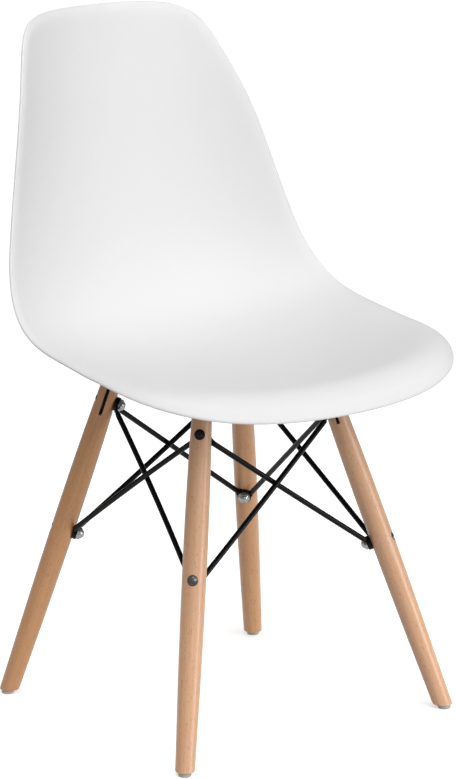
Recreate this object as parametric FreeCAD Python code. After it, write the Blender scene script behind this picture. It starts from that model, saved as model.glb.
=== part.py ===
import FreeCAD, Part
import math
import os

from FreeCAD import Vector

# Dining chair: a moulded plastic bucket shell on four splayed, turned beech legs, tied together by
# eight black steel rods. Millimetres, +Z up, the front of the chair faces -Y, the sitter's left is +X.
# The origin is on the floor under the middle of the whole chair. All numbers below are measured from the
# middle of the base, which lies BASE_FORWARD in front of the origin; save() makes the shift.

os.makedirs("parts", exist_ok=True)

BASE_FORWARD = 13.4           # the middle of the base is this far in front of the origin

# ---------------------------------------------------------------- driving dimensions: shell
WALL = 4.0                    # wall thickness of the shell
FRONT_CORNER = 160.0          # length over which the front outline rounds into the sides
FRONT_POWER = 2.42            # superellipse power of the front outline
TOP_CORNER = 70.0             # height over which the top outline rounds into the sides
TOP_POWER = 5.5               # superellipse power of the top outline
FALL_DROP = 24.0              # how far the front edge curls down
FALL_BAND = 56.0              # width of the band that curls down
FALL_RUN = 182.0              # the curl fades out over this length from the front edge
FALL_POWER = 2.3              # how sharply it curls
LIP_HEIGHT = 6.0              # how far the outer edge rolls back
LIP_BAND = 14.0               # width of the rolled band

# Stations along the shell, front to top: run, centre (y, z), side edge (x, y, z).
# The run counts millimetres along the middle of the shell from the front edge.
STATIONS = [
    (-12.0, (-254.0, 437.5), (237.0, -254.0, 450.0)),
    (0.0, (-242.0, 437.0), (237.0, -242.0, 450.0)),
    (60.0, (-182.0, 434.5), (237.0, -182.0, 450.0)),
    (120.0, (-122.0, 430.0), (237.0, -122.0, 448.0)),
    (180.0, (-62.0, 425.5), (237.0, -68.0, 448.5)),
    (240.0, (-2.0, 420.5), (236.0, -26.0, 453.5)),
    (290.0, (48.0, 417.0), (235.0, 12.0, 458.5)),
    (335.0, (93.0, 417.0), (233.5, 44.0, 464.5)),
    (370.0, (127.0, 421.5), (231.0, 68.0, 472.5)),
    (402.0, (157.0, 433.0), (228.0, 87.0, 483.5)),
    (432.0, (180.0, 452.0), (224.0, 103.0, 498.0)),
    (465.0, (197.0, 480.0), (218.5, 117.0, 517.0)),
    (505.0, (209.0, 518.0), (211.5, 129.0, 543.0)),
    (550.0, (218.0, 562.0), (202.5, 138.5, 577.0)),
    (600.0, (227.0, 612.0), (193.0, 147.0, 612.0)),
    (660.0, (237.0, 671.0), (176.5, 161.0, 671.0)),
    (710.0, (245.5, 720.0), (160.0, 178.0, 720.0)),
    (750.0, (252.5, 759.0), (145.0, 196.5, 759.0)),
    (801.0, (260.0, 810.0), (124.0, 225.0, 810.0)),
    (815.0, (262.0, 824.0), (118.0, 234.0, 824.0)),
]
TOP_RUN = 801.0               # run of the top edge


def station_curves():
    """Two smooth curves, both by run: the centre line of the shell and its side edge."""
    runs = [run for run, centre, side in STATIONS]
    centres = [Vector(0, centre[0], centre[1]) for run, centre, side in STATIONS]
    sides = [Vector(*side) for run, centre, side in STATIONS]
    centre_curve = Part.BSplineCurve()
    centre_curve.interpolate(Points=centres, Parameters=runs)
    side_curve = Part.BSplineCurve()
    side_curve.interpolate(Points=sides, Parameters=runs)
    return centre_curve, side_curve


CENTRE_CURVE, SIDE_CURVE = station_curves()


def smoothstep(x):
    x = min(max(x, 0.0), 1.0)
    return x * x * (3.0 - 2.0 * x)


def corner_norm(across, along, power):
    """Superellipse norm; 1 is the outline."""
    return (abs(across) ** power + abs(along) ** power) ** (1.0 / power)


def edge_distance(across, run):
    """Approximate distance from the outline of the shell; negative outside it."""
    half_width = SIDE_CURVE.value(run).x
    length = FRONT_CORNER
    power = FRONT_POWER
    along = max(0.0, (FRONT_CORNER - run) / FRONT_CORNER)
    if run > TOP_RUN - TOP_CORNER:
        length = TOP_CORNER
        power = TOP_POWER
        along = (run - TOP_RUN + TOP_CORNER) / TOP_CORNER
    norm = max(corner_norm(across, along, power), 1e-6)
    slope_across = (abs(across) / norm) ** (power - 1.0) / half_width
    slope_along = (along / norm) ** (power - 1.0) / length
    return (1.0 - norm) / max(math.hypot(slope_across, slope_along), 1e-6)


def ramp(distance, band, power):
    """0 deeper than the band, 1 at the outline, straight beyond it."""
    x = 1.0 - distance / band
    if x <= 0.0:
        return 0.0
    if x > 1.0:
        return 1.0 + power * (x - 1.0)
    return x ** power


def shell_point(across, run):
    """Upper (sitting) surface: across is -1..1 between the side edges."""
    centre = CENTRE_CURVE.value(run)
    side = SIDE_CURVE.value(run)
    rise = Vector(0, side.y - centre.y, side.z - centre.z)
    distance = edge_distance(across, run)
    lip = LIP_HEIGHT * (across ** 2 - ramp(distance, LIP_BAND, 2.0))
    fall = FALL_DROP * smoothstep((FALL_RUN - run) / FALL_RUN)
    point = centre + rise * across ** 2 + rise.normalize() * lip
    point.z -= fall * ramp(distance, FALL_BAND, FALL_POWER)
    point.x = side.x * across
    return point


def spread(first, last, step):
    """Even values from first up to, but without, last."""
    count = max(1, round((last - first) / step))
    return [first + (last - first) * i / count for i in range(count)]


def sitting_surface():
    """Smooth surface a little larger than the shell."""
    columns = 60
    acrosses = [1.03 * math.sin(math.pi / 2.0 * (2.0 * i / columns - 1.0)) for i in range(columns + 1)]
    runs = spread(-8.0, 88.0, 8.0) + spread(88.0, 700.0, 20.0) + spread(700.0, 812.0, 5.0) + [812.0]
    surface = Part.BSplineSurface()
    surface.interpolate([[shell_point(across, run) for across in acrosses] for run in runs])
    return surface


def corner_points(power, steps):
    """Quarter superellipse as (across, along) pairs, from the side (1, 0) to the middle (0, 1)."""
    pairs = []
    for i in range(steps + 1):
        angle = math.pi / 2.0 * i / steps
        across = math.cos(angle)
        along = math.sin(angle)
        norm = corner_norm(across, along, power)
        pairs.append((across / norm, along / norm))
    return pairs


def outline():
    """Closed outline of the shell as (across, run) pairs."""
    front = [(a, FRONT_CORNER * (1.0 - b)) for a, b in corner_points(FRONT_POWER, 24)]
    top = [(a, TOP_RUN - TOP_CORNER * (1.0 - b)) for a, b in corner_points(TOP_POWER, 24)]
    side = [(1.0, run) for run in spread(FRONT_CORNER, TOP_RUN - TOP_CORNER, 20.0)]
    half = front[::-1][:-1] + side + top
    return half + [(-a, run) for a, run in half[::-1][1:-1]]


def shell_wall():
    """The trimmed surface, thickened downward and backward."""
    rim = Part.BSplineCurve()
    rim.interpolate(Points=[shell_point(a, run) for a, run in outline()], PeriodicFlag=True)
    face = Part.Face(sitting_surface(), Part.Wire(rim.toShape()))
    face.validate()
    return face.makeOffsetShape(WALL, 0.01, False, False, 0, 0, True)


# ---------------------------------------------------------------- driving dimensions: base
FLOOR_GAP = 5.0               # height of the floor glides
FEET = {"front": (193.8, 181.8), "rear": (187.5, 181.8)}      # foot centres from the middle, on the floor
SPLAY = {"front": (0.260, 0.257), "rear": (0.235, 0.233)}     # lean toward the middle per mm of height
LEG_RADII = [(0.0, 11.2), (150.0, 13.5), (280.0, 14.0), (415.0, 11.5)]   # distance up the leg, radius
LEG_CHAMFER = 1.2             # at the top end
SOLE_CHAMFER = 1.0            # at the foot
LOWER_BOLT = 221.4            # distance up the leg
UPPER_BOLT = 388.8            # distance up the leg
SLOT_FROM = 372.5             # the slot for the bracket starts this far up the leg
SLOT_WIDTH = 4.0
BOLT_DIAMETER = 6.0
BOLT_HOLE = 6.4
BOLT_TAIL = 5.0               # thread beyond the washer, inside the cap nut
HEAD_DIAMETER = 12.2          # low domed head with a hexagon socket
HEAD_HEIGHT = 2.4
HEAD_DOME_RADIUS = 11.0
HEAD_DEPTH = 2.2              # the head sits in a round recess this deep
HEAD_RECESS = 13.2            # diameter of that recess
SOCKET_WIDTH = 4.0            # across flats
SOCKET_DEPTH = 1.5
TAB_THICKNESS = 2.4           # flattened rod ends
TAB_DIAMETER = 17.0
TAB_SEAT_DEPTH = 0.4          # small flat on the inner side of the leg, under the tabs
TAB_SEAT_DIAMETER = 26.0
TAB_BAR_WIDTH = 10.0          # flat bar from the eye to the neck
TAB_BAR_REACH = 9.2
NECK_OVERLAP = 0.3            # the neck starts this far inside the bar
NECK_HALF_WIDTH = 4.6         # the neck starts as an ellipse this wide and 1 mm half thickness
UPPER_REACH = 15.0            # from the bolt to the bend where the rod is round
UPPER_STEP = [0.9, 5.0]       # how far that bend stands off the tab, for the tab on the wood and the next
UPPER_TURN = 0.0              # turn of the tab against its rod, in radians
LOWER_REACH = 12.2            # the same three for the lower tabs, which point further to the side
LOWER_STEP = [0.0, 1.5]
LOWER_TURN = 0.38
ROD_DIAMETER = 6.4
ROD_CLEARANCE = 0.15          # between two rods where they cross
WASHER = (6.4, 15.0, 1.0)     # hole, outside, thickness
NUT_WIDTH = 13.0              # across flats
NUT_HEX_HEIGHT = 3.6
NUT_DOME_RADIUS = 6.2
NUT_DOME_HEIGHT = 3.6
GLIDE_DIAMETER = 15.0
GLIDE_ROUNDING = 1.2
GLIDE_RECESS = (7.2, 2.2)     # diameter and depth, for the nail head
NAIL_DIAMETER = 2.6
NAIL_LENGTH = 22.0            # from the floor to the tip
NAIL_HEAD = (6.8, 1.2, 1.0)   # diameter, thickness, height above the floor
NAIL_TIP = 2.0
PLATE = 3.0                   # thickness of the seat bracket
BRACKET_WIDTH = 20.0
BRACKET_BEND = (4.0, 1.5)     # radius outside and inside its bend
FLANGE_Z = 403.0              # underside of the bracket flange
FLANGE_REACH = 33.0
SCREW_REACH = 21.0            # seat screw from the tab, toward the middle
BOSS_DIAMETER = 22.0
INSERT_DIAMETER = 8.4
INSERT_LENGTH = 9.0
SCREW_DIAMETER = 5.0
SCREW_HEAD = (9.0, 3.0)       # diameter, height
SEAT_WASHER_DIAMETER = 11.0
GAP = 0.1                     # running gap between a shank and its bore

LEGS = ["front_right", "rear_right", "rear_left", "front_left"]   # in order around the chair
SIDES = ["right", "rear", "left", "front"]                        # the side from each leg to the next
UP = Vector(0, 0, 1)


# ---------------------------------------------------------------- leg frames
def leg_axes(name):
    """Foot centre, axis up the leg, outward direction across the leg, level outward direction."""
    end, side = name.split("_")
    sx = 1.0 if side == "left" else -1.0
    sy = 1.0 if end == "rear" else -1.0
    foot_x, foot_y = FEET[end]
    lean_x, lean_y = SPLAY[end]
    foot = Vector(sx * foot_x, sy * foot_y, 0)
    axis = Vector(-sx * lean_x, -sy * lean_y, 1).normalize()
    level = Vector(sx * lean_x, sy * lean_y, 0).normalize()
    outward = (level - axis * level.dot(axis)).normalize()
    return foot, axis, outward, level


def in_leg(shape, name):
    """Move a shape from leg coordinates (X outward, Z up the leg) to the chair."""
    foot, axis, outward, level = leg_axes(name)
    across = axis.cross(outward)
    matrix = FreeCAD.Matrix(outward.x, across.x, axis.x, foot.x,
                            outward.y, across.y, axis.y, foot.y,
                            outward.z, across.z, axis.z, foot.z)
    moved = shape.copy()
    moved.Placement = FreeCAD.Placement(matrix)
    return moved


def level_edges(shape, height):
    """Edges that lie flat at one height."""
    found = []
    for edge in shape.Edges:
        box = edge.BoundBox
        if abs(box.ZMin - height) < 0.01 and abs(box.ZMax - height) < 0.01:
            found.append(edge)
    return found


def leg_radius(distance):
    """Radius of the turned leg at a distance up its axis."""
    curve = Part.BSplineCurve()
    curve.interpolate([Vector(d, r, 0) for d, r in LEG_RADII])
    low, high = curve.FirstParameter, curve.LastParameter
    for i in range(40):
        middle = (low + high) / 2.0
        if curve.value(middle).x < distance:
            low = middle
        else:
            high = middle
    return curve.value(low).y


def along_x(diameter, x_from, x_to, distance):
    """Cylinder across the leg, along the bolt."""
    start = Vector(min(x_from, x_to), 0, distance)
    return Part.makeCylinder(diameter / 2.0, abs(x_to - x_from), start, Vector(1, 0, 0))


def head_seat(distance):
    """Where the bolt head sits, on the outer side of the leg."""
    return leg_radius(distance) - HEAD_DEPTH


def tab_seat(distance):
    """Where the first rod tab sits, on the inner side of the leg."""
    return -(leg_radius(distance) - TAB_SEAT_DEPTH)


# ---------------------------------------------------------------- wooden legs
def leg_body():
    """Turned round leg, running on below the floor; make_leg() cuts it level."""
    profile = Part.BSplineCurve()
    profile.interpolate([Vector(r, 0, d) for d, r in LEG_RADII])
    start = profile.value(profile.FirstParameter)
    end = profile.value(profile.LastParameter)
    below = -12.0
    rim = Vector(end.x - LEG_CHAMFER, 0, end.z + LEG_CHAMFER)
    corners = [end, rim, Vector(0, 0, rim.z), Vector(0, 0, below), Vector(start.x, 0, below), start]
    edges = [profile.toShape()] + [Part.makeLine(a, b) for a, b in zip(corners, corners[1:])]
    face = Part.Face(Part.Wire(Part.__sortEdges__(edges)))
    return face.revolve(Vector(0, 0, 0), UP, 360)


def make_leg(name):
    """Leg with its bracket slot, two bolt holes with head recesses and tab seats, and a level foot."""
    body = leg_body()
    body = body.cut(Part.makeBox(SLOT_WIDTH, 40, 60, Vector(-SLOT_WIDTH / 2.0, -20, SLOT_FROM)))
    for distance in (LOWER_BOLT, UPPER_BOLT):
        body = body.cut(along_x(BOLT_HOLE, -30, 30, distance))
        body = body.cut(along_x(HEAD_RECESS, head_seat(distance), 30, distance))
        body = body.cut(along_x(TAB_SEAT_DIAMETER, tab_seat(distance), -30, distance))
    leg = in_leg(body, name)
    foot = leg_axes(name)[0]
    leg = leg.cut(Part.makeBox(80, 80, 40, foot + Vector(-40, -40, FLOOR_GAP - 40)))
    leg = leg.makeChamfer(SOLE_CHAMFER, level_edges(leg, FLOOR_GAP))
    return leg.cut(Part.makeCylinder(NAIL_DIAMETER / 2.0 + GAP / 2.0, NAIL_LENGTH, foot))


# ---------------------------------------------------------------- floor glides and their nails
def make_glide(name):
    foot = leg_axes(name)[0]
    glide = Part.makeCylinder(GLIDE_DIAMETER / 2.0, FLOOR_GAP, foot)
    glide = glide.makeFillet(GLIDE_ROUNDING, level_edges(glide, 0.0))
    hole = Part.makeCylinder(NAIL_DIAMETER / 2.0 + GAP / 2.0, FLOOR_GAP, foot)
    recess = Part.makeCylinder(GLIDE_RECESS[0] / 2.0, GLIDE_RECESS[1], foot)
    return glide.cut(hole).cut(recess)


def make_nail(name):
    foot = leg_axes(name)[0]
    head_diameter, head_thickness, head_height = NAIL_HEAD
    shank_from = head_height + head_thickness / 2.0
    tip_from = NAIL_LENGTH - NAIL_TIP
    head = Part.makeCylinder(head_diameter / 2.0, head_thickness, foot + UP * head_height)
    shank = Part.makeCylinder(NAIL_DIAMETER / 2.0, tip_from - shank_from, foot + UP * shank_from)
    tip = Part.makeCone(NAIL_DIAMETER / 2.0, 0.3, NAIL_TIP - 0.2, foot + UP * tip_from)
    return head.fuse([shank, tip]).removeSplitter()


# ---------------------------------------------------------------- bolts, washers and cap nuts
def stack_end(distance):
    """Inner face of the two stacked rod tabs."""
    return tab_seat(distance) - 2.0 * TAB_THICKNESS


def make_bolt(distance):
    seat = head_seat(distance)
    top = seat + HEAD_HEIGHT
    low_dome = Part.makeSphere(HEAD_DOME_RADIUS, Vector(top - HEAD_DOME_RADIUS, 0, distance))
    head = along_x(HEAD_DIAMETER, seat, top, distance).common(low_dome)
    socket = hexagon(SOCKET_WIDTH, top - SOCKET_DEPTH, top + 1.0, distance)
    shank = along_x(BOLT_DIAMETER, stack_end(distance) - WASHER[2] - BOLT_TAIL, seat, distance)
    return head.cut(socket).fuse(shank)


def hexagon(width, x_from, x_to, distance):
    """Six-sided prism along the bolt."""
    radius = width / math.sqrt(3.0)
    points = []
    for i in range(7):
        angle = math.radians(60.0 * i)
        points.append(Vector(x_from, radius * math.cos(angle), distance + radius * math.sin(angle)))
    return Part.Face(Part.makePolygon(points)).extrude(Vector(x_to - x_from, 0, 0))


def make_washer(distance):
    start = stack_end(distance)
    ring = along_x(WASHER[1], start, start - WASHER[2], distance)
    return ring.cut(along_x(WASHER[0], start + 1, start - 5, distance))


def make_cap_nut(distance):
    """Six-sided nut with bevelled corners and a closed round cap."""
    start = stack_end(distance) - WASHER[2]
    foot = start - NUT_HEX_HEIGHT
    body = hexagon(NUT_WIDTH, start, foot, distance)
    corners = Part.makeCone(NUT_WIDTH * 0.68, NUT_WIDTH * 0.47, NUT_HEX_HEIGHT,
                            Vector(start, 0, distance), Vector(-1, 0, 0))
    body = body.common(corners)
    dome = Part.makeSphere(NUT_DOME_RADIUS, Vector(foot - NUT_DOME_HEIGHT + NUT_DOME_RADIUS, 0, distance))
    nut = body.fuse(dome.common(along_x(NUT_WIDTH, foot + 1.0, foot - 10.0, distance)))
    return nut.cut(along_x(BOLT_DIAMETER + GAP, start + 1, start - BOLT_TAIL - 0.5, distance))


def group(maker, distance=None):
    """One compound of the same small part at each of the four legs."""
    if distance is None:
        return Part.makeCompound([maker(name) for name in LEGS])
    return Part.makeCompound([in_leg(maker(distance), name) for name in LEGS])


# ---------------------------------------------------------------- brace rods
def tab_centre(name, distance, layer):
    """Middle of a rod tab on its bolt; layer 0 lies on the wood, layer 1 on top of it."""
    foot, axis, outward, level = leg_axes(name)
    return foot + axis * distance + outward * (tab_seat(distance) - (layer + 0.5) * TAB_THICKNESS)


def tab_aim(name, toward, turn):
    """Direction of a tab in the plane of its seat, turned away from the leg."""
    foot, axis, outward, level = leg_axes(name)
    across = axis.cross(outward)
    angle = math.atan2(toward.dot(across), toward.dot(axis))
    angle += math.copysign(turn, angle)
    return axis * math.cos(angle) + across * math.sin(angle)


def rod_end(name, distance, layer, toward, reach, step, turn):
    """Eye of a rod tab, the direction of its flat bar, and the bend where the round rod starts."""
    outward = leg_axes(name)[2]
    eye = tab_centre(name, distance, layer)
    aim = tab_aim(name, toward - eye, turn)
    return eye, aim, eye + aim * reach - outward * step


def rod_ends(upper_leg, lower_leg, layer):
    """Both ends of the rod from the top of one leg to the lower bolt of another."""
    upper_eye = tab_centre(upper_leg, UPPER_BOLT, layer)
    lower_eye = tab_centre(lower_leg, LOWER_BOLT, layer)
    upper = rod_end(upper_leg, UPPER_BOLT, layer, lower_eye, UPPER_REACH, UPPER_STEP[layer], UPPER_TURN)
    lower = rod_end(lower_leg, LOWER_BOLT, layer, upper_eye, LOWER_REACH, LOWER_STEP[layer], LOWER_TURN)
    return upper, lower


def nearest_on_line(start, end, other_start, other_end):
    """Point of one line that is nearest to the other line."""
    along = (end - start).normalize()
    other = (other_end - other_start).normalize()
    between = other_start - start
    lean = along.dot(other)
    return start + along * ((between.dot(along) - lean * between.dot(other)) / (1.0 - lean * lean))


def rod_arc(upper_leg, lower_leg, layer):
    """Centre line of a rod: bowed very slightly, so that it just passes the rod it crosses."""
    upper, lower = rod_ends(upper_leg, lower_leg, layer)
    other_upper, other_lower = rod_ends(lower_leg, upper_leg, 1 - layer)
    crossing = nearest_on_line(upper[2], lower[2], other_upper[2], other_lower[2])
    other_crossing = nearest_on_line(other_upper[2], other_lower[2], upper[2], lower[2])
    apart = crossing - other_crossing
    bow = (ROD_DIAMETER + ROD_CLEARANCE - apart.Length) / 2.0
    return Part.Arc(upper[2], crossing + apart.normalize() * bow, lower[2])


def round_section(centre, direction, side):
    """Circle across the rod; its seam lies at the given side."""
    circle = Part.Circle(centre, direction, ROD_DIAMETER / 2.0)
    circle.XAxis = (side - direction * side.dot(direction)).normalize()
    return Part.Wire(circle.toShape())


def make_eyelet(name, end, direction):
    """Flattened rod end: a disc with a flat bar, and a neck that turns into the round rod."""
    eye, aim, bend = end
    outward = leg_axes(name)[2]
    half = outward * (TAB_THICKNESS / 2.0)
    side = aim.cross(outward)
    edge = side * (TAB_BAR_WIDTH / 2.0)
    bar_end = eye + aim * TAB_BAR_REACH
    disc = Part.makeCylinder(TAB_DIAMETER / 2.0, TAB_THICKNESS, eye - half, outward)
    corners = [eye - half - edge, eye - half + edge, bar_end - half + edge, bar_end - half - edge]
    bar = Part.Face(Part.makePolygon(corners + corners[:1])).extrude(outward * TAB_THICKNESS)
    neck_start = bar_end - aim * NECK_OVERLAP
    flat = Part.Ellipse(neck_start + side * NECK_HALF_WIDTH, neck_start - outward, neck_start)
    neck = Part.makeLoft([Part.Wire(flat.toShape()), round_section(bend, direction, side)], True)
    hole = Part.makeCylinder(BOLT_HOLE / 2.0, 8.0, eye - outward * 4.0, outward)
    return disc.fuse([bar, neck]).cut(hole)


def make_brace(upper_leg, lower_leg, layer):
    """Round rod with a flattened eyelet at both ends."""
    upper, lower = rod_ends(upper_leg, lower_leg, layer)
    arc = rod_arc(upper_leg, lower_leg, layer)
    upper_direction = arc.tangent(arc.FirstParameter)[0]
    lower_direction = arc.tangent(arc.LastParameter)[0] * -1.0
    section = Part.Face(round_section(upper[2], upper_direction, upper[1].cross(leg_axes(upper_leg)[2])))
    rod = Part.Wire([arc.toShape()]).makePipe(section)
    upper_eyelet = make_eyelet(upper_leg, upper, upper_direction)
    lower_eyelet = make_eyelet(lower_leg, lower, lower_direction)
    return rod.fuse([upper_eyelet, lower_eyelet])


# ---------------------------------------------------------------- seat brackets and seat screws
def bracket_hub(name):
    """Where the tab of the bracket meets the underside of the flange."""
    foot, axis, outward, level = leg_axes(name)
    return foot + axis * (FLANGE_Z / axis.z)


def screw_point(name):
    """Where the seat screw passes the underside of the flange."""
    foot, axis, outward, level = leg_axes(name)
    return bracket_hub(name) - level * SCREW_REACH


def make_bracket(name):
    """Bent steel plate: a tab down the slot of the leg and a level flange under the seat."""
    foot, axis, outward, level = leg_axes(name)
    hub = bracket_hub(name)
    across = UP.cross(level) * (BRACKET_WIDTH / 2.0)
    level_tilt = level * (PLATE / 2.0 / outward.dot(level))
    low = foot + axis * (SLOT_FROM + 1.5)
    inner_top = hub - level_tilt
    outer_top = hub + level_tilt + axis * (PLATE / axis.z)
    section = [low - outward * (PLATE / 2.0), inner_top, hub - level * FLANGE_REACH,
               hub - level * FLANGE_REACH + UP * PLATE, outer_top, low + outward * (PLATE / 2.0)]
    face = Part.Face(Part.makePolygon(section + section[:1]))
    face.translate(-across)
    plate = face.extrude(across * 2.0)
    plate = plate.makeFillet(BRACKET_BEND[0], edges_through(plate, outer_top))
    plate = plate.makeFillet(BRACKET_BEND[1], edges_through(plate, inner_top))
    bolt_hole = in_leg(along_x(BOLT_HOLE, -20, 20, UPPER_BOLT), name)
    screw_hole = Part.makeCylinder(SCREW_DIAMETER / 2.0 + 0.3, 20, screw_point(name) - UP * 10)
    return plate.cut(bolt_hole).cut(screw_hole)


def edges_through(shape, point):
    """Straight edges with a point as their middle."""
    found = []
    for edge in shape.Edges:
        middle = (edge.Vertexes[0].Point + edge.Vertexes[-1].Point) * 0.5
        if (middle - point).Length < 0.05:
            found.append(edge)
    return found


def make_boss(name):
    """Moulded boss under the shell, open below for its insert."""
    start = screw_point(name) + UP * PLATE
    top = seat_height(start.x, start.y) - 0.5 * WALL
    boss = Part.makeCylinder(BOSS_DIAMETER / 2.0, top - start.z, start)
    return boss.cut(Part.makeCylinder(INSERT_DIAMETER / 2.0, INSERT_LENGTH + 0.6, start))


def seat_height(x, y):
    """Height of the sitting surface above a point of the base."""
    low, high = 60.0, 400.0
    for i in range(40):
        run = (low + high) / 2.0
        point = shell_point(x / SIDE_CURVE.value(run).x, run)
        if point.y < y:
            low = run
        else:
            high = run
    return point.z


def make_insert(name):
    """Brass insert moulded into the boss."""
    start = screw_point(name) + UP * PLATE
    ring = Part.makeCylinder(INSERT_DIAMETER / 2.0, INSERT_LENGTH, start)
    return ring.cut(Part.makeCylinder(SCREW_DIAMETER / 2.0 + GAP / 2.0, INSERT_LENGTH, start))


def make_seat_washer(name):
    start = screw_point(name) - UP * WASHER[2]
    ring = Part.makeCylinder(SEAT_WASHER_DIAMETER / 2.0, WASHER[2], start)
    return ring.cut(Part.makeCylinder(SCREW_DIAMETER / 2.0 + 0.2, WASHER[2], start))


def make_seat_screw(name):
    """Screw up through the washer and the flange into the insert."""
    seat = screw_point(name) - UP * WASHER[2]
    bottom = seat - UP * SCREW_HEAD[1]
    head = Part.makeCylinder(SCREW_HEAD[0] / 2.0, SCREW_HEAD[1], bottom)
    head = head.makeFillet(1.2, level_edges(head, bottom.z))
    socket = Part.makeCylinder(1.8, 1.8, bottom)
    shank = Part.makeCylinder(SCREW_DIAMETER / 2.0, WASHER[2] + PLATE + INSERT_LENGTH - 0.6, seat)
    return head.cut(socket).fuse(shank)


def make_shell():
    """Bucket shell with its four bosses."""
    bosses = [make_boss(name) for name in LEGS]
    return shell_wall().fuse(bosses)


# ---------------------------------------------------------------- output
def save(shape, node):
    """Shift from the middle of the base to the origin, and write the sub-part."""
    placed = shape.copy()
    placed.translate(Vector(0, -BASE_FORWARD, 0))
    placed.exportStep("parts/" + node + ".step")


def main():
    save(make_shell(), "seat_shell")
    for name in LEGS:
        save(make_leg(name), "leg_" + name)
        save(make_bracket(name), "seat_bracket_" + name)
        save(make_glide(name), "floor_glide_" + name)
    for i, side in enumerate(SIDES):
        here = LEGS[i]
        following = LEGS[(i + 1) % 4]
        save(make_brace(here, following, 0), "brace_rod_" + side + "_outer")
        save(make_brace(following, here, 1), "brace_rod_" + side + "_inner")
    for level, distance in (("upper", UPPER_BOLT), ("lower", LOWER_BOLT)):
        save(group(make_bolt, distance), level + "_leg_bolts")
        save(group(make_washer, distance), level + "_bolt_washers")
        save(group(make_cap_nut, distance), level + "_cap_nuts")
    save(group(make_insert), "threaded_inserts")
    save(group(make_seat_washer), "seat_screw_washers")
    save(group(make_seat_screw), "seat_screws")
    save(group(make_nail), "glide_nails")


main()
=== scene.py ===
import math

import bmesh
import bpy
import numpy as np
from mathutils import Matrix, Vector


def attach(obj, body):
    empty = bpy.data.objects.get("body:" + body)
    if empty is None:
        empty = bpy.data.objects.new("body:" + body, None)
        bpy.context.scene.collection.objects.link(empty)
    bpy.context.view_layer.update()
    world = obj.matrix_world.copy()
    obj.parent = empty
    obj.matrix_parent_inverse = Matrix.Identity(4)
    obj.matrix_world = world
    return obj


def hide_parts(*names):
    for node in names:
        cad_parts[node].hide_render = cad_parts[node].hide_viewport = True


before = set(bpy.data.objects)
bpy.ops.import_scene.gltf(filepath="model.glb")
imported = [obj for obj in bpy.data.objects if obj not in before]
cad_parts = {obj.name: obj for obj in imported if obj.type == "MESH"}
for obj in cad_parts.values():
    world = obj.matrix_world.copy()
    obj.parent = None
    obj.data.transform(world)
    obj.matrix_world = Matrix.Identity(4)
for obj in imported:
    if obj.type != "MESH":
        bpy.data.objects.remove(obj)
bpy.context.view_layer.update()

MM = 0.001
TINY = 1e-6                   # keeps divisions safe on the shell's middle line

# ---------------------------------------------------------------- shell shape, millimetres
# Measured from the middle of the base, which lies BASE_FORWARD in front of the origin.
BASE_FORWARD = 13.4
WALL = 4.0
TOP_RUN = 801.0               # run, the length along the shell, is 0 at the front edge and this at the top
FRONT_CORNER = 160.0          # the outline rounds off over this length at the front
FRONT_POWER = 2.42            # superellipse power of the front corners
TOP_CORNER = 70.0
TOP_POWER = 5.5
FALL_DROP = 24.0              # the front edge curls down by this much
FALL_RUN = 182.0              # the curl fades out over this length from the front edge
FALL_BAND = 56.0              # and over this depth from the outline
FALL_POWER = 2.3
LIP_HEIGHT = 6.0              # the rim turns outward by this much
LIP_BAND = 14.0

# Stations along the shell, front to top: run, centre (y, z), side edge (x, y, z).
STATIONS = [
    (-12.0, (-254.0, 437.5), (237.0, -254.0, 450.0)),
    (0.0, (-242.0, 437.0), (237.0, -242.0, 450.0)),
    (60.0, (-182.0, 434.5), (237.0, -182.0, 450.0)),
    (120.0, (-122.0, 430.0), (237.0, -122.0, 448.0)),
    (180.0, (-62.0, 425.5), (237.0, -68.0, 448.5)),
    (240.0, (-2.0, 420.5), (236.0, -26.0, 453.5)),
    (290.0, (48.0, 417.0), (235.0, 12.0, 458.5)),
    (335.0, (93.0, 417.0), (233.5, 44.0, 464.5)),
    (370.0, (127.0, 421.5), (231.0, 68.0, 472.5)),
    (402.0, (157.0, 433.0), (228.0, 87.0, 483.5)),
    (432.0, (180.0, 452.0), (224.0, 103.0, 498.0)),
    (465.0, (197.0, 480.0), (218.5, 117.0, 517.0)),
    (505.0, (209.0, 518.0), (211.5, 129.0, 543.0)),
    (550.0, (218.0, 562.0), (202.5, 138.5, 577.0)),
    (600.0, (227.0, 612.0), (193.0, 147.0, 612.0)),
    (660.0, (237.0, 671.0), (176.5, 161.0, 671.0)),
    (710.0, (245.5, 720.0), (160.0, 178.0, 720.0)),
    (750.0, (252.5, 759.0), (145.0, 196.5, 759.0)),
    (801.0, (260.0, 810.0), (124.0, 225.0, 810.0)),
    (815.0, (262.0, 824.0), (118.0, 234.0, 824.0)),
]

# The shell's points lie in rings: at these depths inside the outline, then evenly to the middle line.
RING_DEPTHS = [0.0, 0.08, 0.3, 0.7, 1.3, 2.0, 3.2, 4.6, 6.2, 8.0, 10.0, 12.0, 14.0, 17.0, 21.0, 26.0, 32.0]
INNER_RINGS = 26
FRONT_STEPS = 70              # outline points along the front corner, the side and the top corner
SIDE_STEPS = 110
TOP_STEPS = 60

# Screw bosses under the seat, and the blind hole for the brass insert in each.
BOSS_RADIUS = 11.0
BOSS_CHAMFER = 0.6
INSERT_RADIUS = 4.2
INSERT_DEPTH = 9.6
HOLE_CHAMFER = 0.3
BOSS_STEPS = 64
SHARP_ANGLE = math.radians(40.0)      # edges sharper than this stay crisp
WELD = 1e-6                           # points closer than this become one, metres

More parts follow.
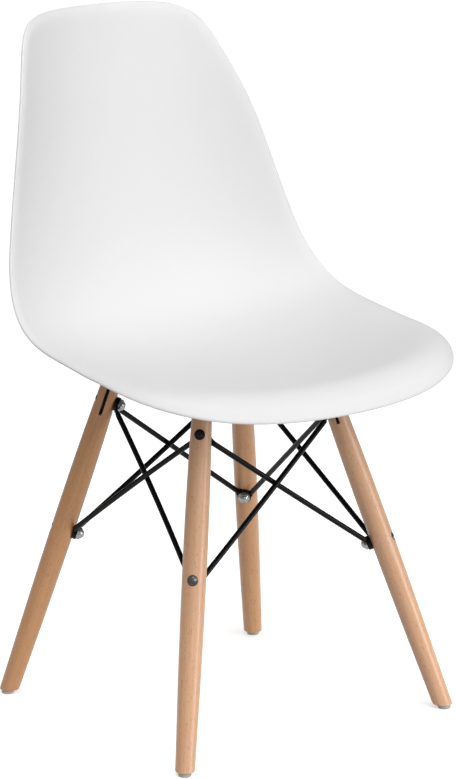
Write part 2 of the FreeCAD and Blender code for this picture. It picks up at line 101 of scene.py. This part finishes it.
# ---------------------------------------------------------------- leg placement
LEGS = ["front_left", "front_right", "rear_left", "rear_right"]
FEET = {"front": (0.1938, 0.1818), "rear": (0.1875, 0.1818)}    # sideways and fore-aft, metres
SPLAY = {"front": (0.260, 0.257), "rear": (0.235, 0.233)}       # lean per unit of height, same order
BRACKET_UNDERSIDE = 403.0     # millimetres, as are the next two
BRACKET_PLATE = 3.0
SCREW_REACH = 21.0            # from the leg's axis inward to the seat screw


# ---------------------------------------------------------------- spline through the stations
class Spline:
    """Natural cubic spline through rows of values."""

    def __init__(self, runs, rows):
        self.t = np.array(runs, float)
        self.y = np.array(rows, float)
        h = np.diff(self.t)
        n = len(self.t)
        system = np.zeros((n, n))
        right = np.zeros_like(self.y)
        system[0, 0] = system[-1, -1] = 1.0
        for i in range(1, n - 1):
            system[i, i - 1:i + 2] = (h[i - 1], 2.0 * (h[i - 1] + h[i]), h[i])
            right[i] = 6.0 * ((self.y[i + 1] - self.y[i]) / h[i] - (self.y[i] - self.y[i - 1]) / h[i - 1])
        self.bend = np.linalg.solve(system, right)

    def __call__(self, t):
        t = np.asarray(t, float)
        i = np.clip(np.searchsorted(self.t, t) - 1, 0, len(self.t) - 2)
        h = (self.t[i + 1] - self.t[i])[..., None]
        a = (self.t[i + 1] - t)[..., None]
        b = (t - self.t[i])[..., None]
        line = (self.y[i] * a + self.y[i + 1] * b) / h
        curve = self.bend[i] * (a ** 3 / h - a * h) + self.bend[i + 1] * (b ** 3 / h - b * h)
        return line + curve / 6.0


RUNS = [run for run, centre, side in STATIONS]
CENTRE = Spline(RUNS, [centre for run, centre, side in STATIONS])
SIDE = Spline(RUNS, [side for run, centre, side in STATIONS])


def smoothstep(x):
    """Smooth step from 0 to 1, flat at both ends."""
    x = np.clip(x, 0.0, 1.0)
    return x * x * (3.0 - 2.0 * x)


def norm_and_slope(across, run):
    """Superellipse norm of a place on the shell (1 is the outline) and its slope per millimetre."""
    half_width = SIDE(run)[..., 0]
    front = run < FRONT_CORNER
    top = run > TOP_RUN - TOP_CORNER
    along = np.where(front, (FRONT_CORNER - run) / FRONT_CORNER, 0.0)
    along = np.where(top, (run - TOP_RUN + TOP_CORNER) / TOP_CORNER, along)
    length = np.where(top, TOP_CORNER, FRONT_CORNER)
    power = np.where(top, TOP_POWER, FRONT_POWER)
    norm = (np.abs(across) ** power + np.abs(along) ** power) ** (1.0 / power)
    norm = np.maximum(norm, TINY)
    slope_across = (np.abs(across) / norm) ** (power - 1.0) / half_width
    slope_along = (np.abs(along) / norm) ** (power - 1.0) / length
    return norm, np.maximum(np.hypot(slope_across, slope_along), TINY)


def ramp(distance, band, power):
    """0 deeper than the band, 1 at the outline, straight beyond it."""
    x = np.maximum(1.0 - distance / band, 0.0)
    return np.where(x > 1.0, 1.0 + power * (x - 1.0), np.minimum(x, 1.0) ** power)


def shell_points(across, run):
    """Sitting surface in millimetres, and the distance of each point from the outline."""
    centre = CENTRE(run)
    side = SIDE(run)
    rise = side[..., 1:] - centre
    direction = rise / np.linalg.norm(rise, axis=-1, keepdims=True)
    norm, slope = norm_and_slope(across, run)
    distance = (1.0 - norm) / slope
    square = (across ** 2)[..., None]
    lip = LIP_HEIGHT * (square - ramp(distance, LIP_BAND, 2.0)[..., None])
    flat = centre + rise * square + direction * lip
    fall = FALL_DROP * smoothstep((FALL_RUN - run) / FALL_RUN) * ramp(distance, FALL_BAND, FALL_POWER)
    points = np.stack([side[..., 0] * across, flat[..., 0], flat[..., 1] - fall], axis=-1)
    return points, distance


def shell_normals(across, run):
    """Unit normals of the sitting surface, toward the sitter."""
    step = 0.05
    width = SIDE(run)[..., 0]
    a = shell_points(across + step / width, run)[0] - shell_points(across - step / width, run)[0]
    b = shell_points(across, run + step)[0] - shell_points(across, run - step)[0]
    n = np.cross(a, b)
    return n / np.linalg.norm(n, axis=-1, keepdims=True)


# ---------------------------------------------------------------- shell mesh
def quarter(power, steps):
    """Quarter superellipse from the side (1, 0) to the middle (0, 1), as two arrays."""
    angle = np.linspace(0.0, math.pi / 2.0, steps + 1)
    c = np.cos(angle)
    s = np.sin(angle)
    norm = (c ** power + s ** power) ** (1.0 / power)
    return c / norm, s / norm


def outline():
    """Outline of the shell as (across, along, fan centre run, sense) columns, once round."""
    rows = []
    across, along = quarter(FRONT_POWER, FRONT_STEPS)
    rows += [(x, y, FRONT_CORNER, -FRONT_CORNER) for x, y in zip(across[::-1], along[::-1])]
    for run in np.linspace(FRONT_CORNER, TOP_RUN - TOP_CORNER, SIDE_STEPS)[1:-1]:
        rows.append((1.0, 0.0, run, 0.0))
    across, along = quarter(TOP_POWER, TOP_STEPS)
    rows += [(x, y, TOP_RUN - TOP_CORNER, TOP_CORNER) for x, y in zip(across, along)]
    mirrored = [(-x, y, run, sense) for x, y, run, sense in rows[::-1][1:-1]]
    return np.array(rows + mirrored)


def ring_places():
    """(across, run) of every ring of points, from the outline inward to the middle line."""
    x, y, base, sense = outline().T
    slope = norm_and_slope(x, base + sense * y)[1]
    scales = [1.0 - depth * slope for depth in RING_DEPTHS]
    last = scales[-1]
    for i in range(1, INNER_RINGS + 1):
        scales.append(last * (1.0 - i / INNER_RINGS))
    return [(x * scale, base + sense * y * scale) for scale in scales]


def place(points):
    """Millimetres from the middle of the base to metres in the chair's frame."""
    return (np.asarray(points) - np.array([0.0, BASE_FORWARD, 0.0])) * MM


def new_object(name, vertices, faces, material, smooth=True):
    """Mesh object of these vertices and faces, linked to the scene."""
    mesh = bpy.data.meshes.new(name)
    mesh.from_pydata([tuple(v) for v in vertices], [], faces)
    mesh.validate()
    mesh.materials.append(material)
    mesh.polygons.foreach_set("use_smooth", [smooth] * len(mesh.polygons))
    mesh.update()
    piece = bpy.data.objects.new(name, mesh)
    bpy.context.scene.collection.objects.link(piece)
    return piece


def shell_skin():
    """Vertices and faces of the shell: a sitting side and an outer side that meet in a round edge."""
    rings = ring_places()
    count = len(rings[0][0])
    half = WALL / 2.0
    upper = []
    lower = []
    for across, run in rings:
        inner, distance = shell_points(across, run)
        normal = shell_normals(across, run)
        depth = np.clip(distance / half, 0.0, 1.0)
        thick = (half * np.sqrt(1.0 - (1.0 - depth) ** 2))[:, None]
        middle = inner - normal * half
        upper.append(middle + normal * thick)
        lower.append(middle - normal * thick)
    vertices = np.concatenate(upper + lower)
    faces = []
    for side, flip in ((0, False), (len(rings), True)):
        for ring in range(side, side + len(rings) - 1):
            outer = ring * count
            inner = outer + count
            for i in range(count):
                j = (i + 1) % count
                if flip:
                    faces.append((outer + i, inner + i, inner + j, outer + j))
                else:
                    faces.append((outer + i, outer + j, inner + j, inner + i))
    return place(vertices), faces


def boss_axis(name):
    """Where the seat screw of a leg meets the underside of its boss, millimetres."""
    matrix = leg_matrix(name)
    foot = matrix.translation / MM
    up = matrix.col[2].to_3d()
    level = Vector((matrix.col[0].x, matrix.col[0].y, 0.0)).normalized()
    hub = foot + up * (BRACKET_UNDERSIDE / up.z)
    return hub - level * SCREW_REACH + Vector((0.0, BASE_FORWARD, BRACKET_PLATE))


def seat_height(x, y):
    """Height of the sitting surface above a point, millimetres, found by halving the run's range."""
    low = 60.0
    high = 400.0
    for _ in range(40):
        run = (low + high) / 2.0
        point = shell_points(x / SIDE(run)[0], np.float64(run))[0]
        if point[1] < y:
            low = run
        else:
            high = run
    return point[2]


def boss_skin(name):
    """Vertices and faces of one screw boss: a lathe-turned post with a blind hole for its insert."""
    start = boss_axis(name)
    top = seat_height(start.x, start.y) - 0.5 * WALL - start.z
    profile = [
        (0.0, INSERT_DEPTH),
        (INSERT_RADIUS, INSERT_DEPTH),
        (INSERT_RADIUS, HOLE_CHAMFER),
        (INSERT_RADIUS + HOLE_CHAMFER, 0.0),
        (BOSS_RADIUS - BOSS_CHAMFER, 0.0),
        (BOSS_RADIUS, BOSS_CHAMFER),
        (BOSS_RADIUS, top),
        (0.0, top),
    ]
    vertices = []
    for radius, height in profile:
        for i in range(BOSS_STEPS):
            angle = 2.0 * math.pi * i / BOSS_STEPS
            x = start.x + radius * math.cos(angle)
            y = start.y + radius * math.sin(angle)
            vertices.append((x, y, start.z + height))
    faces = []
    for row in range(len(profile) - 1):
        low = row * BOSS_STEPS
        high = low + BOSS_STEPS
        for i in range(BOSS_STEPS):
            j = (i + 1) % BOSS_STEPS
            faces.append((low + i, low + j, high + j, high + i))
    return place(vertices), faces


def merge_and_face(piece, distance):
    """Weld points that coincide, and make every face look outward."""
    shape = bmesh.new()
    shape.from_mesh(piece.data)
    bmesh.ops.remove_doubles(shape, verts=shape.verts, dist=distance)
    bmesh.ops.recalc_face_normals(shape, faces=shape.faces)
    shape.to_mesh(piece.data)
    shape.free()


def make_shell(material):
    """The shell as one fine mesh with its four bosses, in place of the CAD shell."""
    vertices, faces = shell_skin()
    for name in LEGS:
        more_vertices, more_faces = boss_skin(name)
        faces += [tuple(len(vertices) + i for i in face) for face in more_faces]
        vertices = np.concatenate([vertices, more_vertices])
    shell = new_object("moulded_shell", vertices, faces, material)
    merge_and_face(shell, WELD)
    shell.data.polygons.foreach_set("use_smooth", [True] * len(shell.data.polygons))
    shell.data.set_sharp_from_angle(angle=SHARP_ANGLE)
    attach(shell, "root")
    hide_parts("seat_shell")
    return shell


# ---------------------------------------------------------------- leg axes
def leg_matrix(name):
    """Leg coordinates (X outward, Z up the leg) to the chair's frame, metres."""
    end, side = name.split("_")
    sx = 1.0 if side == "left" else -1.0
    sy = 1.0 if end == "rear" else -1.0
    lean_x, lean_y = SPLAY[end]
    foot = Vector((sx * FEET[end][0], sy * FEET[end][1] - BASE_FORWARD * MM, 0.0))
    axis = Vector((-sx * lean_x, -sy * lean_y, 1.0)).normalized()
    level = Vector((sx * lean_x, sy * lean_y, 0.0))
    outward = (level - axis * level.dot(axis)).normalized()
    matrix = Matrix((outward, axis.cross(outward), axis)).transposed().to_4x4()
    matrix.translation = foot
    return matrix


# ---------------------------------------------------------------- material helpers
class Surface:
    """A principled material whose look is built from procedural nodes."""

    def __init__(self, name, color, roughness, **settings):
        self.material = bpy.data.materials.new(name)
        self.material.use_nodes = True
        self.nodes = self.material.node_tree.nodes
        self.links = self.material.node_tree.links
        self.shader = self.nodes["Principled BSDF"]
        self.shader.inputs["Base Color"].default_value = (*color, 1.0)
        self.shader.inputs["Roughness"].default_value = roughness
        for socket, value in settings.items():
            self.shader.inputs[socket.replace("_", " ")].default_value = value

    def node(self, kind, **settings):
        """New node of this kind with these settings."""
        made = self.nodes.new(kind)
        for key, value in settings.items():
            setattr(made, key, value)
        return made

    def coordinates(self, scale=(1.0, 1.0, 1.0), matrix=None):
        """Object coordinates in metres, turned into leg coordinates if a matrix is given."""
        output = self.node("ShaderNodeTexCoord").outputs["Object"]
        if matrix is not None:
            turn = self.node("ShaderNodeMapping", vector_type="POINT")
            back = matrix.inverted()
            turn.inputs["Location"].default_value = back.translation
            turn.inputs["Rotation"].default_value = back.to_euler("XYZ")
            self.links.new(output, turn.inputs["Vector"])
            output = turn.outputs["Vector"]
        stretch = self.node("ShaderNodeMapping", vector_type="POINT")
        stretch.inputs["Scale"].default_value = scale
        self.links.new(output, stretch.inputs["Vector"])
        return stretch.outputs["Vector"]

    def noise(self, vector, scale, detail=3.0, roughness=0.55, distortion=0.0):
        """Noise around 0.5; scale is in cells per metre."""
        made = self.node("ShaderNodeTexNoise")
        made.inputs["Scale"].default_value = scale
        made.inputs["Detail"].default_value = detail
        made.inputs["Roughness"].default_value = roughness
        made.inputs["Distortion"].default_value = distortion
        self.links.new(vector, made.inputs["Vector"])
        return made.outputs["Fac"]

    def spread(self, value, low, high, to_low, to_high):
        """Value from low..high mapped to to_low..to_high, clamped."""
        made = self.node("ShaderNodeMapRange")
        for socket, number in zip(("From Min", "From Max", "To Min", "To Max"), (low, high, to_low, to_high)):
            made.inputs[socket].default_value = number
        self.links.new(value, made.inputs["Value"])
        return made.outputs["Result"]

    def colors(self, value, stops):
        """Colour ramp through (place, colour) stops."""
        made = self.node("ShaderNodeValToRGB")
        ramp_stops = made.color_ramp.elements
        for stop, (where, color) in zip(ramp_stops, (stops[0], stops[-1])):
            stop.position = where
            stop.color = (*color, 1.0)
        for where, color in stops[1:-1]:
            ramp_stops.new(where).color = (*color, 1.0)
        self.links.new(value, made.inputs["Fac"])
        return made.outputs["Color"]

    def multiply(self, color, other, amount):
        """Colour darkened by another colour; amount is a number or a value socket."""
        made = self.node("ShaderNodeMix", data_type="RGBA", blend_type="MULTIPLY")
        if isinstance(amount, float):
            made.inputs["Factor"].default_value = amount
        else:
            self.links.new(amount, made.inputs["Factor"])
        self.links.new(color, made.inputs["A"])
        if isinstance(other, tuple):
            made.inputs["B"].default_value = (*other, 1.0)
        else:
            self.links.new(other, made.inputs["B"])
        return made.outputs["Result"]

    def bump(self, height, strength, depth):
        """Fine relief; depth is in metres."""
        made = self.node("ShaderNodeBump")
        made.inputs["Strength"].default_value = strength
        made.inputs["Distance"].default_value = depth
        self.links.new(height, made.inputs["Height"])
        self.links.new(made.outputs["Normal"], self.shader.inputs["Normal"])

    def drive(self, socket, output):
        """Link a node's output to one of the shader's sockets."""
        self.links.new(output, self.shader.inputs[socket])


# ---------------------------------------------------------------- materials
# The legs' tones differ as painted light and shade: the rear right leg is darker with painted shade from the
# shell, the paler front legs carry a painted sheen, and the rear left leg is lighter with painted light.
LIT_AND_SHADED_TIMBER = {
    "front_left": (0.61, 0.35, 0.20),
    "front_right": (0.63, 0.355, 0.20),
    "rear_left": (0.66, 0.345, 0.165),
    "rear_right": (0.53, 0.265, 0.113),
}
PALE_LINE = (1.0, 1.0, 1.0)           # the grain colours multiply the leg's tone
DARK_LINE = (0.84, 0.79, 0.73)
FLECK = (0.66, 0.48, 0.36)


def shell_plastic():
    """White moulded polypropylene: satin, with the fine spark texture of the mould."""
    s = Surface("shell_plastic", (0.72, 0.72, 0.72), 0.48, Specular_IOR_Level=0.4)
    s.shader.inputs["Subsurface Weight"].default_value = 0.06
    s.shader.inputs["Subsurface Radius"].default_value = (0.004, 0.004, 0.004)
    fine = s.noise(s.coordinates(), 2600.0, 2.0)
    soft = s.noise(s.coordinates(), 14.0, 2.0)
    s.drive("Roughness", s.spread(soft, 0.3, 0.7, 0.45, 0.52))
    s.bump(fine, 0.10, 0.00006)
    return s.material


def beech(name):
    """Lacquered beech with its grain up one leg: fine lines, short darker flecks, a satin coat."""
    matrix = leg_matrix(name)
    s = Surface("beech_" + name, LIT_AND_SHADED_TIMBER[name], 0.40, Coat_Weight=0.25, Coat_Roughness=0.32)
    broad = s.noise(s.coordinates((1.0, 1.0, 0.05), matrix), 95.0, 2.0, distortion=0.5)
    lines = s.noise(s.coordinates((1.0, 1.0, 0.018), matrix), 900.0, 3.0)
    flecks = s.noise(s.coordinates((1.0, 1.0, 0.3), matrix), 700.0, 1.0)
    # this leg's tone, which carries its painted light and shade
    tone = np.array(LIT_AND_SHADED_TIMBER[name])
    color = s.colors(broad, [(0.30, tuple(0.95 * tone)), (0.5, tuple(tone)), (0.72, tuple(1.05 * tone))])
    color = s.multiply(color, s.colors(lines, [(0.35, DARK_LINE), (0.6, PALE_LINE)]), 0.6)
    color = s.multiply(color, FLECK, s.spread(flecks, 0.64, 0.70, 0.0, 0.6))
    s.drive("Base Color", color)
    s.drive("Roughness", s.spread(lines, 0.3, 0.7, 0.34, 0.46))
    s.bump(lines, 0.12, 0.0001)
    return s.material


def black_steel():
    """Semi-gloss black powder coat with a slight orange peel."""
    s = Surface("black_steel", (0.002, 0.002, 0.0024), 0.26, Specular_IOR_Level=0.10)
    peel = s.noise(s.coordinates(), 1400.0, 2.0)
    s.drive("Roughness", s.spread(s.noise(s.coordinates(), 60.0), 0.3, 0.7, 0.22, 0.30))
    s.bump(peel, 0.15, 0.00005)
    return s.material


def metal(name, color, roughness, scale, depth):
    """Plated steel or brass with fine marks."""
    s = Surface(name, color, roughness, Metallic=1.0)
    marks = s.noise(s.coordinates(), scale, 4.0)
    s.drive("Roughness", s.spread(marks, 0.3, 0.7, roughness - 0.06, roughness + 0.1))
    s.bump(marks, 0.15, depth)
    return s.material


def glide_plastic():
    """Grey slightly translucent plastic, scuffed underneath."""
    s = Surface("glide_plastic", (0.50, 0.50, 0.48), 0.45, Transmission_Weight=0.25)
    s.shader.inputs["Subsurface Weight"].default_value = 0.2
    s.shader.inputs["Subsurface Radius"].default_value = (0.003, 0.003, 0.003)
    scuffs = s.noise(s.coordinates(), 900.0, 3.0)
    s.drive("Roughness", s.spread(scuffs, 0.3, 0.7, 0.38, 0.6))
    s.bump(scuffs, 0.2, 0.00008)
    return s.material


def studio_floor():
    """White studio floor that glows evenly around the chair and fades to pale grey in front of it."""
    s = Surface("studio_floor", (0.9, 0.9, 0.9), 0.75, Specular_IOR_Level=0.2)
    s.shader.inputs["Emission Color"].default_value = (1.0, 1.0, 1.0, 1.0)
    depth = s.node("ShaderNodeSeparateXYZ")
    s.links.new(s.coordinates(), depth.inputs[0])
    near = s.spread(depth.outputs["Y"], -GLOW_FRONT - GLOW_FADE, -GLOW_FRONT, 0.0, 1.0)
    s.drive("Emission Strength", s.spread(near, 0.0, 1.0, 0.0, FLOOR_GLOW))
    s.drive("Base Color", s.colors(near, [(0.0, FAR_FLOOR), (1.0, NEAR_FLOOR)]))
    s.bump(s.noise(s.coordinates(), 300.0), 0.03, 0.0002)
    return s.material


def dress(nodes, material):
    """Give CAD nodes one material."""
    for name in nodes:
        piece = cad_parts[name]
        piece.data.materials.clear()
        piece.data.materials.append(material)


def dress_everything():
    """Give every CAD node but the shell its material."""
    names = list(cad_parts)
    for leg in LEGS:
        dress(["leg_" + leg], beech(leg))
    dress([n for n in names if n.startswith("brace_rod") or n.startswith("seat_bracket")], black_steel())
    dress([n for n in names if n.startswith("floor_glide")], glide_plastic())
    dress(["upper_leg_bolts"], metal("black_oxide", (0.022, 0.022, 0.023), 0.34, 800.0, 0.00004))
    dress(["lower_leg_bolts"], metal("dark_zinc", (0.11, 0.11, 0.112), 0.20, 800.0, 0.00004))
    bright = metal("bright_zinc", (0.28, 0.285, 0.29), 0.24, 700.0, 0.00003)
    dress(["upper_cap_nuts", "lower_cap_nuts", "upper_bolt_washers", "lower_bolt_washers"], bright)
    dress(["seat_screws", "seat_screw_washers", "glide_nails"], bright)
    dress(["threaded_inserts"], metal("brass", (0.72, 0.52, 0.22), 0.3, 900.0, 0.00003))


# ---------------------------------------------------------------- stage, light and camera
# Metres, in the chair's frame unless a comment says otherwise.
CAMERA_AZIMUTH = math.radians(-37.55)     # from straight in front toward the sitter's right
CAMERA_ELEVATION = math.radians(14.54)
CAMERA_DISTANCE = 4.6639
CAMERA_LENS = 183.2                       # millimetres, on a 36 mm sensor
AIM_RIGHT = 0.0063                        # the point aimed at: to the right of the base's middle in the view
AIM_UP = 0.3858

FLOOR_SIZE = 14.0
FLOOR_GLOW = 0.46
GLOW_FRONT = 0.29                         # the floor glows up to this far from the origin toward the camera
GLOW_FADE = 0.7                           # and fades out over this length
NEAR_FLOOR = (0.95, 0.95, 0.95)
FAR_FLOOR = (0.5, 0.5, 0.5)

BRIGHT_SIDE = (-0.18, -0.62, 0.76)        # the surroundings are brightest in front of the chair and above
WORLD_RANGE = (-0.6, 0.95, 0.14, 0.84)    # cosine to that direction, dim and bright, then their strengths

# Soft lights: name, diameter, place, aim, watts, beam spread in degrees.
LIGHTS = [
    ("key", 2.4, (-0.9, -4.0, 2.7), (0.0, 0.0, 0.9), 53.0, 180.0),
    ("top", 2.4, (-0.9, -0.9, 4.4), (0.0, 0.0, 0.4), 42.0, 180.0),
    ("leg_fill", 0.9, (1.0, -1.8, 0.32), (0.05, -0.05, -0.1), 1.2, 36.0),
    ("back_fill", 0.9, (-0.9, -3.0, 1.3), (0.0, 0.2, 0.95), 0.2, 12.0),
]


def make_floor():
    """One large level floor, turned so that its fade runs across the view.

    It gives the chair no bounce light, so that the shaded sides of the legs stay dark.
    """
    half = FLOOR_SIZE / 2.0
    corners = [(-half, -half, 0.0), (half, -half, 0.0), (half, half, 0.0), (-half, half, 0.0)]
    floor = new_object("studio_floor", corners, [(0, 1, 2, 3)], studio_floor(), smooth=False)
    floor.rotation_euler.z = CAMERA_AZIMUTH
    floor.visible_diffuse = False


def soft_light(name, size, place_at, aim, power, spread):
    """Round area light that shines from one point toward another."""
    lamp = bpy.data.lights.new(name, "AREA")
    lamp.shape = "DISK"
    lamp.size = size
    lamp.energy = power
    lamp.spread = math.radians(spread)
    holder = bpy.data.objects.new(name, lamp)
    holder.location = place_at
    holder.rotation_euler = (Vector(aim) - Vector(place_at)).to_track_quat("-Z", "Y").to_euler()
    bpy.context.scene.collection.objects.link(holder)


def light_studio():
    """Surroundings that brighten toward one side, and the soft lights."""
    world = bpy.data.worlds.new("studio")
    bpy.context.scene.world = world
    world.use_nodes = True
    nodes = world.node_tree.nodes
    links = world.node_tree.links
    toward_bright_side = nodes.new("ShaderNodeVectorMath")
    toward_bright_side.operation = "DOT_PRODUCT"
    toward_bright_side.inputs[1].default_value = Vector(BRIGHT_SIDE).normalized()
    links.new(nodes.new("ShaderNodeTexCoord").outputs["Generated"], toward_bright_side.inputs[0])
    strength = nodes.new("ShaderNodeMapRange")
    for socket, number in zip(("From Min", "From Max", "To Min", "To Max"), WORLD_RANGE):
        strength.inputs[socket].default_value = number
    links.new(toward_bright_side.outputs["Value"], strength.inputs["Value"])
    links.new(strength.outputs["Result"], nodes["Background"].inputs["Strength"])
    nodes["Background"].inputs["Color"].default_value = (1.0, 1.0, 1.0, 1.0)
    for row in LIGHTS:
        soft_light(*row)


def place_camera():
    """The view of the reference picture: from the chair's front right, a little above the seat."""
    right = Vector((math.cos(CAMERA_AZIMUTH), math.sin(CAMERA_AZIMUTH), 0.0))
    level = Vector((math.sin(CAMERA_AZIMUTH), -math.cos(CAMERA_AZIMUTH), 0.0))
    back = level * math.cos(CAMERA_ELEVATION) + Vector((0.0, 0.0, math.sin(CAMERA_ELEVATION)))
    target = right * AIM_RIGHT + Vector((0.0, -BASE_FORWARD * MM, AIM_UP))
    camera = bpy.data.cameras.new("camera")
    camera.lens = CAMERA_LENS
    camera.sensor_width = 36.0
    holder = bpy.data.objects.new("camera", camera)
    holder.matrix_world = Matrix((right, back.cross(right), back)).transposed().to_4x4()
    holder.location = target + back * CAMERA_DISTANCE
    bpy.context.scene.collection.objects.link(holder)
    bpy.context.scene.camera = holder


make_shell(shell_plastic())
dress_everything()
make_floor()
light_studio()
place_camera()
bpy.context.scene.view_settings.view_transform = "Standard"
